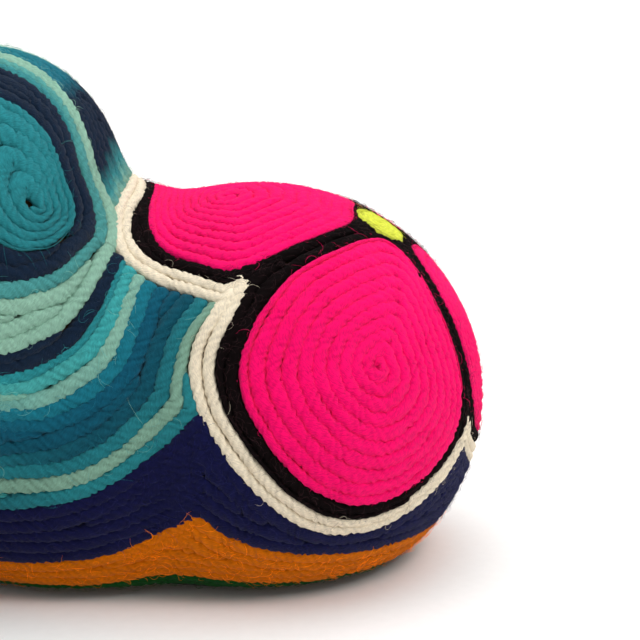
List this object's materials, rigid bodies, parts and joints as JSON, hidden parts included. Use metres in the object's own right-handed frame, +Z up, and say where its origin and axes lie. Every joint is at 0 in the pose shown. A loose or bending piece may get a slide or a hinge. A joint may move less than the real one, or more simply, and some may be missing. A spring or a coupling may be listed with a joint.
{
  "type": "yarn covered animal head figure",
  "caption": "Free-standing carved cat head covered in coloured yarn pressed into beeswax, with a petalled flower over the muzzle, ringed eyes and banded cheeks",
  "frame": {"origin": "middle of the flat foot, on the table plane", "axes": "+X runs to the nose, +Y to the head's own left, +Z up"},
  "size_m": [0.1686, 0.1078, 0.1124],
  "materials": {
    "carved_wood": "carved, unvarnished",
    "beeswax": "soft wax",
    "felt": "felt",
    "lime_yarn": "wool yarn",
    "pink_yarn": "wool yarn",
    "black_yarn": "wool yarn",
    "cream_yarn": "wool yarn",
    "navy_yarn": "wool yarn",
    "royal_yarn": "wool yarn",
    "sea_blue_yarn": "wool yarn",
    "orange_yarn": "wool yarn",
    "green_yarn": "wool yarn",
    "mint_yarn": "wool yarn",
    "teal_yarn": "wool yarn"
  },
  "bodies": {
    "root": {"carved_core": "carved_wood", "wax_layer": "beeswax", "felt_foot": "felt", "lime_centre": "lime_yarn", "petal_left": "pink_yarn", "petal_top": "pink_yarn", "petal_right": "pink_yarn", "petal_front": "pink_yarn", "outline_left": "black_yarn", "outline_top": "black_yarn", "outline_right": "black_yarn", "outline_front": "black_yarn", "cream_strand_outer": "cream_yarn", "cream_strand_inner": "cream_yarn", "eye_core_left": "teal_yarn", "eye_navy_left": "navy_yarn", "eye_teal_left": "teal_yarn", "eye_pale_left": "mint_yarn", "eye_core_right": "teal_yarn", "eye_navy_right": "navy_yarn", "eye_teal_right": "teal_yarn", "eye_pale_right": "mint_yarn", "cheek_navy_left": "navy_yarn", "cheek_teal_left": "teal_yarn", "cheek_mint_left": "mint_yarn", "cheek_blue_left": "sea_blue_yarn", "cheek_pale_left": "mint_yarn", "cheek_edge_left": "teal_yarn", "cheek_navy_right": "navy_yarn", "cheek_teal_right": "teal_yarn", "cheek_mint_right": "mint_yarn", "cheek_blue_right": "sea_blue_yarn", "cheek_pale_right": "mint_yarn", "cheek_edge_right": "teal_yarn", "brow_rows": "teal_yarn", "blue_band": "royal_yarn", "orange_band": "orange_yarn", "green_band": "green_yarn", "ear_left": "carved_wood", "ear_front_left": "mint_yarn", "ear_back_left": "navy_yarn", "ear_right": "carved_wood", "ear_front_right": "mint_yarn", "ear_back_right": "navy_yarn"}
  },
  "joints": []
}
